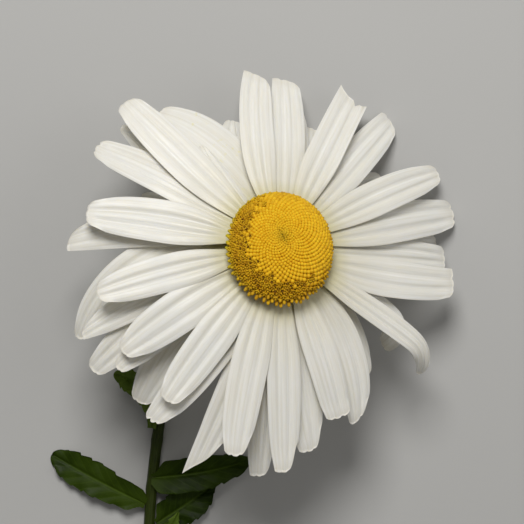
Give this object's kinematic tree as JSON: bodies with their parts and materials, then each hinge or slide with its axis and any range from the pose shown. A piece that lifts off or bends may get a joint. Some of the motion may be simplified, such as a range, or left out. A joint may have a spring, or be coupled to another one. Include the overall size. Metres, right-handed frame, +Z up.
{
  "type": "cut daisy",
  "caption": "Cut daisy with one open white flower head, a domed yellow disc, a bare cut stem and a few toothed leaves, lying face up on a flat surface.",
  "frame": {"origin": "middle of the footprint on the surface that the flower lies on", "axes": "+Z up from the surface, +Y along the flower from the cut end of the stem towards the head, +X to the right seen from above"},
  "size_m": [0.101, 0.1954, 0.0413],
  "materials": {
    "ray_petal": "matt white petal with fine lengthwise ridges, a little translucent",
    "disc": "matt golden yellow florets, browner and open towards the left edge",
    "bract": "green scales with thin brown papery edges",
    "stem": "dark green, ribbed lengthwise, slightly waxy",
    "leaf": "dark green, slightly waxy, pale midrib"
  },
  "bodies": {
    "root": {"ray_floret_01": "ray_petal", "ray_floret_02": "ray_petal", "ray_floret_03": "ray_petal", "ray_floret_04": "ray_petal", "ray_floret_05": "ray_petal", "ray_floret_06": "ray_petal", "ray_floret_07": "ray_petal", "ray_floret_08": "ray_petal", "ray_floret_09": "ray_petal", "ray_floret_10": "ray_petal", "ray_floret_11": "ray_petal", "ray_floret_12": "ray_petal", "ray_floret_13": "ray_petal", "ray_floret_14": "ray_petal", "ray_floret_15": "ray_petal", "ray_floret_16": "ray_petal", "ray_floret_17": "ray_petal", "ray_floret_18": "ray_petal", "ray_floret_19": "ray_petal", "ray_floret_20": "ray_petal", "ray_floret_21": "ray_petal", "ray_floret_22": "ray_petal", "ray_floret_23": "ray_petal", "ray_floret_24": "ray_petal", "ray_floret_25": "ray_petal", "ray_floret_26": "ray_petal", "ray_floret_27": "ray_petal", "ray_floret_28": "ray_petal", "ray_floret_29": "ray_petal", "ray_floret_30": "ray_petal", "ray_floret_31": "ray_petal", "ray_floret_32": "ray_petal", "ray_floret_33": "ray_petal", "ray_floret_34": "ray_petal", "ray_floret_35": "ray_petal", "ray_floret_36": "ray_petal", "ray_floret_37": "ray_petal", "ray_floret_38": "ray_petal", "ray_floret_39": "ray_petal", "ray_floret_40": "ray_petal", "disc_florets": "disc", "involucral_bracts": "bract", "stem": "stem", "leaf_left": "leaf", "leaf_right": "leaf", "leaf_lower_right": "leaf", "leaf_lowest": "leaf", "leaf_upper": "leaf"}
  },
  "joints": []
}
